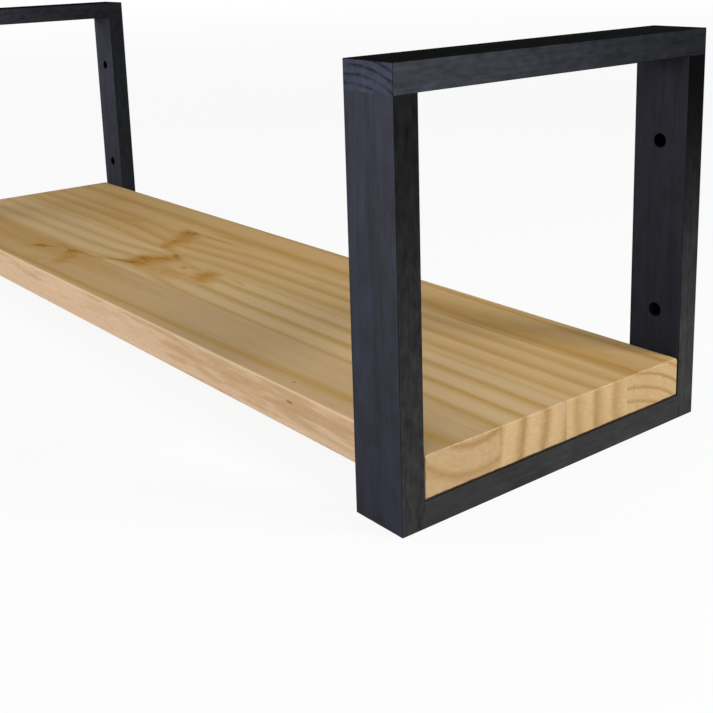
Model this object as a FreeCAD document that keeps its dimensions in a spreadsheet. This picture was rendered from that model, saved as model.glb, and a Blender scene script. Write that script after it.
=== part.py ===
import FreeCAD, Part
import Sketcher
import os

# Wall shelf: two frames of black wooden battens carry a pine board glued up from strips.
# The board drops between the posts, lies on the bottom rails and ends flush with the frames.
# X runs along the shelf, Y runs from the room (-Y) to the wall, and Z is up.
# The origin lies on the wall plane, midway between the four wall screw holes.

# Driving sizes in millimetres: name, value, what it measures.
SIZES = (
    ("shelf_length", 900, "board length, and the outer faces of the two frames"),
    ("frame_depth", 280, "front of the front posts to the wall"),
    ("frame_height", 280, "foot of the posts to the top of the top rails"),
    ("batten_width", 44, "frame battens, along the shelf"),
    ("post_thickness", 18, "posts, front to back"),
    ("rail_thickness", 18, "rails, underside to top"),
    ("batten_arris", 0.6, "rounding sanded on the edges of a glued frame"),
    ("board_thickness", 29, "pine board, underside to top"),
    ("board_clearance", 1, "gap between the board and the posts, front and back alike"),
    ("board_edge_radius", 2.5, "rounding along the board's two upper long edges"),
    ("board_arris", 1.2, "rounding sanded round the board's ends and along its lower edges"),
    ("strip_count", 4, "pine strips of equal width glued edge to edge into the board"),
    ("wall_strip_trim", 6, "ripped off the strip at the wall once the board is glued"),
    ("wall_hole_spacing", 124, "lower wall screw hole to the upper one"),
    ("wall_hole_diameter", 5, "wall screw hole where it meets the wall"),
    ("wall_counterbore_diameter", 10, "pocket for the head of a wall screw"),
    ("wall_counterbore_depth", 11, "depth of that pocket"),
    ("dowel_diameter", 8, "beech dowel in a corner joint"),
    ("dowel_length", 30, "beech dowel, end to end"),
    ("dowel_spacing", 22, "between the two dowels of a joint"),
    ("dowel_face_depth", 10, "dowel length held in the batten drilled in its broad face"),
    ("dowel_chamfer", 1, "bevel on both ends of a dowel"),
    ("dowel_fit", 0.1, "dowel hole wider than its dowel"),
    ("dowel_end_room", 0.5, "free depth beyond each end of a dowel"),
    ("screw_inset", 42, "board screw from the inner face of the nearest post"),
    ("screw_shank_diameter", 4, "board screw, shank"),
    ("screw_head_diameter", 8, "board screw, countersunk head"),
    ("screw_head_sink", 0.3, "screw head below the underside of the rail"),
    ("screw_bite", 18, "screw length held in the board"),
    ("screw_point_length", 5, "tapered point of a board screw"),
    ("screw_hole_fit", 0.5, "screw hole in the rail wider than the shank"),
    ("screw_head_fit", 0.2, "countersink in the rail wider than the head"),
    ("screw_pilot_fit", 0.1, "pilot hole in the board wider than the shank"),
    ("screw_pilot_room", 0.5, "pilot hole beyond the screw's point"),
    ("screw_recess_span", 3.4, "cross recess in a screw head, end to end"),
    ("screw_recess_width", 1.1, "cross recess, width of an arm"),
    ("screw_recess_depth", 1.5, "cross recess, depth"),
)

# Places and sizes that follow from the driving sizes.
FRAME_OFFSET = "(Sizes.shelf_length - Sizes.batten_width) / 2"
INNER_DEPTH = "(Sizes.frame_depth - 2 * Sizes.post_thickness)"
INNER_HEIGHT = "(Sizes.frame_height - 2 * Sizes.rail_thickness)"
POST_LENGTH = "(Sizes.frame_height - Sizes.rail_thickness)"
FRAME_MIDDLE = "(-Sizes.frame_depth / 2)"
FRAME_FOOT = "(-Sizes.frame_height / 2)"
TOP_JOINT = f"({FRAME_FOOT} + {POST_LENGTH})"
BOARD_UNDERSIDE = f"({FRAME_FOOT} + Sizes.rail_thickness)"
BOARD_DEPTH = f"({INNER_DEPTH} - 2 * Sizes.board_clearance)"
STRIP_WIDTH = f"(({BOARD_DEPTH} + Sizes.wall_strip_trim) / Sizes.strip_count)"
POST_SETBACK = "(Sizes.frame_depth - Sizes.post_thickness) / 2"
DOWEL_END_DEPTH = "(Sizes.dowel_length - Sizes.dowel_face_depth)"
DOWEL_FACE_HOLE = "(Sizes.dowel_face_depth + Sizes.dowel_end_room)"
DOWEL_END_HOLE = f"({DOWEL_END_DEPTH} + Sizes.dowel_end_room)"
DOWEL_HOLE_DIAMETER = "(Sizes.dowel_diameter + Sizes.dowel_fit)"
DOWEL_HALF_SPACING = "(Sizes.dowel_spacing / 2)"
RAIL_HALF_THICKNESS = "(Sizes.rail_thickness / 2)"
POST_HALF_THICKNESS = "(Sizes.post_thickness / 2)"
SCREW_OFFSET = f"({INNER_DEPTH} / 2 - Sizes.screw_inset)"
SCREW_LENGTH = "(Sizes.rail_thickness - Sizes.screw_head_sink + Sizes.screw_bite)"
SCREW_HEAD_HEIGHT = "((Sizes.screw_head_diameter - Sizes.screw_shank_diameter) / 2)"
SCREW_SINK_DIAMETER = "(Sizes.screw_head_diameter + Sizes.screw_head_fit + 2 * Sizes.screw_head_sink)"
SCREW_CONE_ANGLE = 90

# Sides of the shelf as seen from the room, with the sign of their X.
SIDES = (("left", "-"), ("right", ""))
ON_AXIS = "0"
NEAR = 1e-6

doc = FreeCAD.newDocument("wall_shelf")
nodes = []


def make_sheet():
    """Write the driving sizes into a sheet, one named cell each."""
    sheet = doc.addObject("Spreadsheet::Sheet", "Sizes")
    for row, (name, value, meaning) in enumerate(SIZES, start=1):
        sheet.set(f"A{row}", meaning)
        sheet.set(f"B{row}", str(value))
        sheet.setAlias(f"B{row}", name)
    doc.recompute()


def bind(item, formulas):
    """Tie properties of an object to formulas of the sheet's sizes."""
    for name, formula in formulas.items():
        item.setExpression(name, formula)


def place(item, across, back, up):
    """Place an object at X, Y and Z formulas."""
    bind(item, {"Placement.Base.x": across, "Placement.Base.y": back, "Placement.Base.z": up})


def keep(item, label):
    """Name a finished piece, whose label also names its file."""
    item.Label = label
    nodes.append(item)


def new_body(name):
    """Start a piece that is made by features."""
    return doc.addObject("PartDesign::Body", name)


def new_sketch(body, role, lift=ON_AXIS, shift=ON_AXIS):
    """Start a sketch on an origin plane of its body, lifted off it and shifted up in it."""
    plane = next(item for item in body.Origin.OriginFeatures if item.Role == role)
    sketch = body.newObject("Sketcher::SketchObject", f"{body.Name}_sketch")
    sketch.AttachmentSupport = (plane, [""])
    sketch.MapMode = "FlatFace"
    bind(sketch, {"AttachmentOffset.Base.z": lift, "AttachmentOffset.Base.y": shift})
    return sketch


def pin(sketch, geometry, point, across, up):
    """Fix a point of the sketch at two formulas, measured from the sketch's origin."""
    for kind, formula, axis in (("DistanceX", across, -2), ("DistanceY", up, -1)):
        if formula == ON_AXIS:
            sketch.addConstraint(Sketcher.Constraint("PointOnObject", geometry, point, axis))
            continue
        constraint = sketch.addConstraint(Sketcher.Constraint(kind, -1, 1, geometry, point, 1.0))
        sketch.setExpression(f"Constraints[{constraint}]", formula)


def draw_outline(sketch, corners):
    """Draw a closed outline of straight lines through corners given as formulas."""
    count = len(corners)
    first = sketch.GeometryCount
    starts = [FreeCAD.Vector(step, step * step, 0) for step in range(1, count + 1)]
    for step in range(count):
        line = Part.LineSegment(starts[step], starts[(step + 1) % count])
        sketch.addGeometry(line, False)
    for step in range(count):
        following = first + (step + 1) % count
        sketch.addConstraint(Sketcher.Constraint("Coincident", first + step, 2, following, 1))
    for step, (across, up) in enumerate(corners):
        pin(sketch, first + step, 1, across, up)


def draw_rectangle(sketch, width, height):
    """Draw a rectangle centred on the sketch's origin."""
    signs = (("-", "-"), ("", "-"), ("", ""), ("-", ""))
    draw_outline(sketch, [(f"{x}{width} / 2", f"{y}{height} / 2") for x, y in signs])


def draw_circles(sketch, centres, diameter):
    """Draw equal circles at centres given as formulas."""
    upward = FreeCAD.Vector(0, 0, 1)
    for step, (across, up) in enumerate(centres, start=1):
        circle = sketch.addGeometry(Part.Circle(FreeCAD.Vector(step, step, 0), upward, 1), False)
        pin(sketch, circle, 3, across, up)
        constraint = sketch.addConstraint(Sketcher.Constraint("Diameter", circle, 2.0))
        sketch.setExpression(f"Constraints[{constraint}]", diameter)


def add_feature(body, kind, sketch, formulas, turned=False):
    """Add a feature that works from a sketch, and work it out."""
    feature = body.newObject(f"PartDesign::{kind}", f"{body.Name}_{kind.lower()}")
    feature.Profile = sketch
    feature.Reversed = turned
    bind(feature, formulas)
    doc.recompute()
    return feature


def cut_feature(body, kind, sketch, formulas, turned=False, options=()):
    """Add a feature that takes material away, and make sure that it does."""
    before = body.Shape.Volume
    feature = add_feature(body, kind, sketch, {}, turned)
    for name, value in options:
        setattr(feature, name, value)
    bind(feature, formulas)
    doc.recompute()
    if body.Shape.Volume > before - NEAR:
        raise RuntimeError(f"{feature.Name} takes nothing away")
    return feature


def round_edges(body, wanted, radius):
    """Round the edges of a body that the test picks out."""
    base = body.Tip
    picked = [f"Edge{i}" for i, edge in enumerate(base.Shape.Edges, start=1) if wanted(edge)]
    fillet = body.newObject("PartDesign::Fillet", f"{body.Name}_fillet")
    fillet.Base = (base, picked)
    bind(fillet, {"Radius": radius})
    doc.recompute()


def spans(edge, axis):
    """Tell how far an edge reaches along X, Y or Z."""
    box = edge.BoundBox
    return {"x": box.XLength, "y": box.YLength, "z": box.ZLength}[axis]


def meet(label, blank, outline):
    """Keep the part of a blank that lies inside a rounded outline."""
    piece = doc.addObject("Part::Common", f"{label}_piece")
    piece.Base = blank
    piece.Tool = outline
    piece.Refine = True
    keep(piece, label)


def dowel_centres(up):
    """Give the centres of the two dowels of a joint, at one height in the sketch."""
    return [(f"-{DOWEL_HALF_SPACING}", up), (DOWEL_HALF_SPACING, up)]


def drill_dowel_holes(body, role, lift, centres, depth, turned=False):
    """Drill dowel holes into a batten from one of its faces."""
    sketch = new_sketch(body, role, lift)
    draw_circles(sketch, centres, DOWEL_HOLE_DIAMETER)
    cut_feature(body, "Pocket", sketch, {"Length": depth}, turned)


def make_frame_outline(side, sign):
    """Make the outline of a glued frame, with its edges sanded round."""
    outline = new_body(f"{side}_frame_outline")
    sketch = new_sketch(outline, "YZ_Plane", "-Sizes.batten_width / 2")
    draw_rectangle(sketch, "Sizes.frame_depth", "Sizes.frame_height")
    draw_rectangle(sketch, INNER_DEPTH, INNER_HEIGHT)
    add_feature(outline, "Pad", sketch, {"Length": "Sizes.batten_width"})
    reach = outline.Shape.BoundBox

    def is_arris(edge):
        """Tell the outer and rim edges from the four inside corners of the window."""
        if spans(edge, "x") < NEAR:
            return True
        return abs(edge.CenterOfMass.y) > reach.YMax - NEAR

    round_edges(outline, is_arris, "Sizes.batten_arris")
    place(outline, f"{sign}{FRAME_OFFSET}", FRAME_MIDDLE, ON_AXIS)
    return outline


def make_post_blank(name):
    """Make an upright batten, with dowel holes in its top end for the top rail."""
    post = new_body(name)
    sketch = new_sketch(post, "XY_Plane")
    draw_rectangle(sketch, "Sizes.batten_width", "Sizes.post_thickness")
    add_feature(post, "Pad", sketch, {"Length": POST_LENGTH})
    drill_dowel_holes(post, "XY_Plane", POST_LENGTH, dowel_centres(ON_AXIS), DOWEL_END_HOLE)
    return post


def make_front_post(side, sign, outline):
    """Make a front post, with dowel holes in its back face for the bottom rail."""
    post = make_post_blank(f"{side}_front_post_blank")
    drill_dowel_holes(post, "XZ_Plane", f"-{POST_HALF_THICKNESS}", dowel_centres(RAIL_HALF_THICKNESS),
                      DOWEL_FACE_HOLE, turned=True)
    place(post, f"{sign}{FRAME_OFFSET}", f"{FRAME_MIDDLE} - {POST_SETBACK}", FRAME_FOOT)
    meet(f"{side}_front_post", post, outline)


def make_back_post(side, sign, outline):
    """Make a back post, with dowel holes in its front face and two wall screw holes."""
    post = make_post_blank(f"{side}_back_post_blank")
    drill_dowel_holes(post, "XZ_Plane", POST_HALF_THICKNESS, dowel_centres(RAIL_HALF_THICKNESS),
                      DOWEL_FACE_HOLE)
    sketch = new_sketch(post, "XZ_Plane", POST_HALF_THICKNESS)
    middle = "Sizes.frame_height / 2"
    heights = (f"{middle} - Sizes.wall_hole_spacing / 2", f"{middle} + Sizes.wall_hole_spacing / 2")
    draw_circles(sketch, [(ON_AXIS, height) for height in heights], "Sizes.wall_hole_diameter")
    doc.recompute()
    cut_feature(
        post, "Hole", sketch,
        {"Diameter": "Sizes.wall_hole_diameter",
         "HoleCutDiameter": "Sizes.wall_counterbore_diameter",
         "HoleCutDepth": "Sizes.wall_counterbore_depth"},
        options=(("ThreadType", "None"), ("DepthType", "ThroughAll"), ("HoleCutType", "Counterbore")))
    place(post, f"{sign}{FRAME_OFFSET}", f"{FRAME_MIDDLE} + {POST_SETBACK}", FRAME_FOOT)
    meet(f"{side}_back_post", post, outline)


def make_rail_blank(name, length):
    """Make a level batten that runs from front to back."""
    rail = new_body(name)
    sketch = new_sketch(rail, "XY_Plane")
    draw_rectangle(sketch, "Sizes.batten_width", length)
    add_feature(rail, "Pad", sketch, {"Length": "Sizes.rail_thickness"})
    return rail


def make_top_rail(side, sign, outline):
    """Make a top rail, which lies across both posts, with dowel holes in its underside."""
    rail = make_rail_blank(f"{side}_top_rail_blank", "Sizes.frame_depth")
    centres = dowel_centres(f"-{POST_SETBACK}") + dowel_centres(POST_SETBACK)
    drill_dowel_holes(rail, "XY_Plane", ON_AXIS, centres, DOWEL_FACE_HOLE, turned=True)
    place(rail, f"{sign}{FRAME_OFFSET}", FRAME_MIDDLE, TOP_JOINT)
    meet(f"{side}_top_rail", rail, outline)


def make_bottom_rail(side, sign, outline):
    """Make a bottom rail between the posts, with dowel holes in its ends and two screw holes."""
    rail = make_rail_blank(f"{side}_bottom_rail_blank", INNER_DEPTH)
    centres = dowel_centres(RAIL_HALF_THICKNESS)
    drill_dowel_holes(rail, "XZ_Plane", f"{INNER_DEPTH} / 2", centres, DOWEL_END_HOLE)
    drill_dowel_holes(rail, "XZ_Plane", f"-{INNER_DEPTH} / 2", centres, DOWEL_END_HOLE, turned=True)
    sketch = new_sketch(rail, "XY_Plane")
    centres = [(ON_AXIS, f"-{SCREW_OFFSET}"), (ON_AXIS, SCREW_OFFSET)]
    draw_circles(sketch, centres, "Sizes.screw_shank_diameter")
    doc.recompute()
    cut_feature(
        rail, "Hole", sketch,
        {"Diameter": "Sizes.screw_shank_diameter + Sizes.screw_hole_fit",
         "HoleCutDiameter": SCREW_SINK_DIAMETER},
        turned=True,
        options=(("ThreadType", "None"), ("DepthType", "ThroughAll"), ("HoleCutType", "Countersink"),
                 ("HoleCutCountersinkAngle", SCREW_CONE_ANGLE)))
    place(rail, f"{sign}{FRAME_OFFSET}", FRAME_MIDDLE, FRAME_FOOT)
    meet(f"{side}_bottom_rail", rail, outline)


def make_dowel_pair(label):
    """Make the two dowels of a joint, side by side, with their axes along Z."""
    pair = new_body(f"{label}_pair")
    sketch = new_sketch(pair, "XY_Plane")
    draw_circles(sketch, dowel_centres(ON_AXIS), "Sizes.dowel_diameter")
    add_feature(pair, "Pad", sketch, {"Length": "Sizes.dowel_length"})
    base = pair.Tip
    rims = [f"Edge{i}" for i, edge in enumerate(base.Shape.Edges, start=1) if edge.isClosed()]
    chamfer = pair.newObject("PartDesign::Chamfer", f"{label}_chamfer")
    chamfer.Base = (base, rims)
    bind(chamfer, {"Size": "Sizes.dowel_chamfer"})
    keep(pair, label)
    return pair


def make_dowels(side, sign):
    """Make the dowels of a frame's four corner joints."""
    across = f"{sign}{FRAME_OFFSET}"
    inner = f"{INNER_DEPTH} / 2"
    rail_axis = f"{FRAME_FOOT} + {RAIL_HALF_THICKNESS}"
    for end, direction in (("front", "-"), ("back", "+")):
        upright = make_dowel_pair(f"{side}_top_{end}_dowels")
        place(upright, across, f"{FRAME_MIDDLE} {direction} {POST_SETBACK}", f"{TOP_JOINT} - {DOWEL_END_DEPTH}")
    level_turn = FreeCAD.Rotation(FreeCAD.Vector(1, 0, 0), -90)
    starts = (("front", f"{FRAME_MIDDLE} - {inner} - Sizes.dowel_face_depth"),
              ("back", f"{FRAME_MIDDLE} + {inner} - {DOWEL_END_DEPTH}"))
    for end, start in starts:
        level = make_dowel_pair(f"{side}_bottom_{end}_dowels")
        level.Placement.Rotation = level_turn
        place(level, across, start, rail_axis)


def make_board_screws(side, sign):
    """Make the two screws that hold the board down, driven up through a bottom rail."""
    screws = new_body(f"{side}_screw_pair")
    sketch = new_sketch(screws, "XZ_Plane", f"-{SCREW_OFFSET}")
    head = "Sizes.screw_head_diameter / 2"
    shank = "Sizes.screw_shank_diameter / 2"
    draw_outline(sketch, [
        (ON_AXIS, ON_AXIS),
        (head, ON_AXIS),
        (shank, SCREW_HEAD_HEIGHT),
        (shank, f"{SCREW_LENGTH} - Sizes.screw_point_length"),
        (ON_AXIS, SCREW_LENGTH),
    ])
    turned = screws.newObject("PartDesign::Revolution", f"{side}_screw_turned")
    turned.Profile = sketch
    turned.ReferenceAxis = (sketch, ["V_Axis"])
    doc.recompute()

    recess = new_sketch(screws, "XY_Plane", shift=SCREW_OFFSET)
    tip = "Sizes.screw_recess_span / 2"
    arm = "Sizes.screw_recess_width / 2"
    quarter = [(tip, arm), (arm, arm), (arm, tip)]
    cross = quarter + [(f"-{x}", y) for x, y in reversed(quarter)]
    cross += [(f"-{x}", f"-{y}") for x, y in quarter]
    cross += [(x, f"-{y}") for x, y in reversed(quarter)]
    draw_outline(recess, cross)
    slot = cut_feature(screws, "Pocket", recess, {"Length": "Sizes.screw_recess_depth"}, turned=True)

    mirrored = screws.newObject("PartDesign::Mirrored", f"{side}_screw_mirrored")
    plane = next(item for item in screws.Origin.OriginFeatures if item.Role == "XZ_Plane")
    mirrored.Originals = [turned, slot]
    mirrored.MirrorPlane = (plane, [""])
    screws.Tip = mirrored
    place(screws, f"{sign}{FRAME_OFFSET}", FRAME_MIDDLE, f"{FRAME_FOOT} + Sizes.screw_head_sink")
    keep(screws, f"{side}_board_screws")


def make_panel():
    """Make the whole glued board, with rounded edges and pilot holes for its screws."""
    panel = new_body("panel")
    sketch = new_sketch(panel, "XY_Plane")
    draw_rectangle(sketch, "Sizes.shelf_length", BOARD_DEPTH)
    add_feature(panel, "Pad", sketch, {"Length": "Sizes.board_thickness"})
    reach = panel.Shape.BoundBox

    def is_upper_edge(edge):
        """Tell the two long edges of the top face from all others."""
        return spans(edge, "x") > NEAR and edge.CenterOfMass.z > reach.ZMax - NEAR

    def is_arris(edge):
        """Tell the edges of the two ends and the long edges of the underside."""
        if spans(edge, "x") < NEAR:
            return True
        return edge.CenterOfMass.z < reach.ZMin + NEAR

    round_edges(panel, is_upper_edge, "Sizes.board_edge_radius")
    round_edges(panel, is_arris, "Sizes.board_arris")
    pilot = new_sketch(panel, "XY_Plane")
    signs = (("-", "-"), ("-", ""), ("", "-"), ("", ""))
    centres = [(f"{x}{FRAME_OFFSET}", f"{y}{SCREW_OFFSET}") for x, y in signs]
    draw_circles(pilot, centres, "Sizes.screw_shank_diameter + Sizes.screw_pilot_fit")
    cut_feature(panel, "Pocket", pilot, {"Length": "Sizes.screw_bite + Sizes.screw_pilot_room"}, turned=True)
    place(panel, ON_AXIS, FRAME_MIDDLE, BOARD_UNDERSIDE)
    return panel


def make_board_strips():
    """Make the strips of the board, numbered from the room to the wall."""
    panel = make_panel()
    for strip in range(int(doc.Sizes.strip_count)):
        blank = doc.addObject("Part::Box", f"strip_{strip + 1}_blank")
        bind(blank, {"Length": "Sizes.shelf_length", "Width": STRIP_WIDTH, "Height": "Sizes.board_thickness"})
        front = f"{FRAME_MIDDLE} - {BOARD_DEPTH} / 2 + {strip} * {STRIP_WIDTH}"
        place(blank, "-Sizes.shelf_length / 2", front, BOARD_UNDERSIDE)
        meet(f"board_strip_{strip + 1}", blank, panel)


def check():
    """Stop if any object failed, or if a piece is empty or faulty."""
    for item in doc.Objects:
        if "Invalid" in item.State or "Error" in item.State:
            raise RuntimeError(f"{item.Label} failed: {item.State}")
    for item in nodes:
        if item.Shape.isNull() or not item.Shape.isValid() or not item.Shape.Solids:
            raise RuntimeError(f"{item.Label} has no sound solid")


def write():
    """Write each piece to a file of its own and print its size."""
    os.makedirs("parts", exist_ok=True)
    for item in nodes:
        item.Shape.exportStep(f"parts/{item.Label}.step")
        box = item.Shape.BoundBox
        size = f"{box.XLength:.1f} x {box.YLength:.1f} x {box.ZLength:.1f} mm"
        print(f"{item.Label}: {len(item.Shape.Solids)} solid(s), {size}, {item.Shape.Volume:.0f} mm3")


make_sheet()
make_board_strips()
for side, sign in SIDES:
    outline = make_frame_outline(side, sign)
    make_front_post(side, sign, outline)
    make_back_post(side, sign, outline)
    make_top_rail(side, sign, outline)
    make_bottom_rail(side, sign, outline)
    make_dowels(side, sign)
    make_board_screws(side, sign)
doc.recompute()
check()
write()
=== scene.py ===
"""Looks of a wall shelf: a glued pine board carried by two frames of black stained battens.

Every length in the finishes is in millimetres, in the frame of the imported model: X runs along the
shelf, Y runs from the room to the wall and Z is up. Blender's own units stay metres.
"""
import logging
import math
from collections.abc import Sequence
from dataclasses import dataclass
from enum import Enum

import bmesh
import bpy
from mathutils import Matrix, Vector


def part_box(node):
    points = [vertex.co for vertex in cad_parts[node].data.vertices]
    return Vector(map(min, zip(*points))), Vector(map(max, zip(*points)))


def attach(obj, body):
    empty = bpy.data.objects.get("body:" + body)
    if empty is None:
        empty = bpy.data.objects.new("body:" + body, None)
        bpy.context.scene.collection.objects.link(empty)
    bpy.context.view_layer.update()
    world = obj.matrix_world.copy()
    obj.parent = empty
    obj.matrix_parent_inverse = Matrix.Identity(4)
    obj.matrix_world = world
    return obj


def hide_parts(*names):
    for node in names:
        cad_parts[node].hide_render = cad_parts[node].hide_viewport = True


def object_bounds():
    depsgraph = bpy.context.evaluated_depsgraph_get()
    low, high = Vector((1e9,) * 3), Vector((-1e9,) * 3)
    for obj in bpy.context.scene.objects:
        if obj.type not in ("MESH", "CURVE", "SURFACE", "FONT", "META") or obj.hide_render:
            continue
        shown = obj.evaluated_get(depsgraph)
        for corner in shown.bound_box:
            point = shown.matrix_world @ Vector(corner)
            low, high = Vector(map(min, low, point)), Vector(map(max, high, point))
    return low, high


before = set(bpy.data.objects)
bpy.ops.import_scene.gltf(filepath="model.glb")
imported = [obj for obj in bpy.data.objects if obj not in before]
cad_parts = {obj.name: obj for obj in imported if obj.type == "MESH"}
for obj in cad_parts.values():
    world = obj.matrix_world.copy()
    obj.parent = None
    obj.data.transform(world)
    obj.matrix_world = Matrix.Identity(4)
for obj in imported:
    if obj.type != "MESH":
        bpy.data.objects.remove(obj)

log = logging.getLogger("wall_shelf")

CAD_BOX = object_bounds()
MM = 0.001
MM_PER_M = 1000.0
AXES = "XYZ"
SHARP_FROM = math.radians(32)

Socket = bpy.types.NodeSocket
Value = float | Socket
Pair = tuple[float, float]
Triple = tuple[float, float, float]
Ring = list[bmesh.types.BMVert]
Rows = list[tuple[float, list[float]]]

WHITE: Triple = (1.0, 1.0, 1.0)


class Side(Enum):
    """The two frames, named as seen from the room."""

    LEFT = "left"
    RIGHT = "right"


class Grain(Enum):
    """The axis that a piece's fibres follow, with the two axes across it."""

    ALONG_SHELF = ("X", "Y", "Z")
    FRONT_TO_BACK = ("Y", "X", "Z")
    UPRIGHT = ("Z", "X", "Y")

    def places(self) -> list[int]:
        """Give the places of the three axes in a vector."""
        return [AXES.index(axis) for axis in self.value]


@dataclass(frozen=True)
class Slope:
    """A smooth step: the result goes from start to end while a number goes from low to high."""

    low: float
    high: float
    start: float = 0.0
    end: float = 1.0


@dataclass(frozen=True)
class Fleck:
    """Soft noise that is drawn out along the fibres.

    It holds the size of a patch along the fibres and twice across them, in millimetres, the shift
    that sets it apart from the other noise of a piece, and the layers of finer noise on top.
    """

    lengths: Triple
    shift: float
    detail: float = 2.0


@dataclass(frozen=True)
class Growth:
    """How the tree grew that a piece was sawn from, in millimetres.

    The heart of the tree is a line along the fibres; heart_across and heart_up say where it passes
    the origin, and the two leans how far it drifts for each millimetre of length. A year's wood
    starts to darken at late_from, as a share of the year, and feather is how far its edges fray.
    """

    heart_across: float
    heart_up: float
    ring_width: float
    ring_start: float = 0.0
    lean_across: float = 0.0
    lean_up: float = 0.0
    waver: float = 2.4
    feather: float = 2.2
    late_from: float = 0.3
    late_to: float = 0.9
    seed: float = 0.0

    def year(self) -> tuple[Pair, ...]:
        """Give the share of late wood through a year: slow to darken, then a clean edge to spring.

        Returns:
            Places in the year and the share at each.
        """
        left = self.late_to - self.late_from
        return (
            (0.0, 0.52),
            (0.14, 0.12),
            (self.late_from, 0.14),
            (self.late_from + 0.4 * left, 0.48),
            (self.late_from + 0.8 * left, 0.88),
            (self.late_to, 0.94),
            (1.0, 0.52),
        )


class NodeGraph:
    """Lays out the nodes of a finish or of the sky."""

    def __init__(self, owner: bpy.types.Material | bpy.types.World) -> None:
        """Start with the nodes that the owner has of itself."""
        owner.use_nodes = True
        self.tree = owner.node_tree

    def node(self, kind: str, *values: object, **settings: object) -> bpy.types.Node:
        """Add a node.

        Args:
            kind: Blender's name for the kind of node.
            values: links or plain values for its sockets, in order.
            settings: properties of the node and their values.

        Returns:
            The new node.
        """
        made = self.tree.nodes.new(kind)
        for name, setting in settings.items():
            setattr(made, name, setting)
        for socket, value in zip(made.inputs, values):
            self.feed(socket, value)
        return made

    def feed(self, socket: Socket, value: object) -> None:
        """Give a socket a link or a plain value."""
        if isinstance(value, bpy.types.NodeSocket):
            self.tree.links.new(value, socket)
        else:
            socket.default_value = value

    def calc(self, operation: str, *values: Value) -> Socket:
        """Work out a number by the sum of Blender's that is named."""
        return self.node("ShaderNodeMath", *values, operation=operation).outputs[0]

    def seen_directly(self) -> Socket:
        """Tell what the camera, a reflection or a clear body sees from what only lights the object.

        Returns:
            1 for a ray that shows the surface, otherwise 0.
        """
        path = self.node("ShaderNodeLightPath").outputs
        seen = path["Is Camera Ray"]
        for name in ("Is Glossy Ray", "Is Transmission Ray"):
            seen = self.calc("MAXIMUM", seen, path[name])
        return seen

    def end_in_mix(self, output: str, share: Socket, under: Socket, over: Socket) -> None:
        """Mix two shaders and show the mix.

        Args:
            output: name of the node that the graph ends in.
            share: how much of the upper shader shows, from 0 to 1.
            under: the lower shader.
            over: the upper shader.
        """
        mix = self.node("ShaderNodeMixShader", share, under, over)
        self.feed(self.tree.nodes[output].inputs["Surface"], mix.outputs[0])


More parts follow.
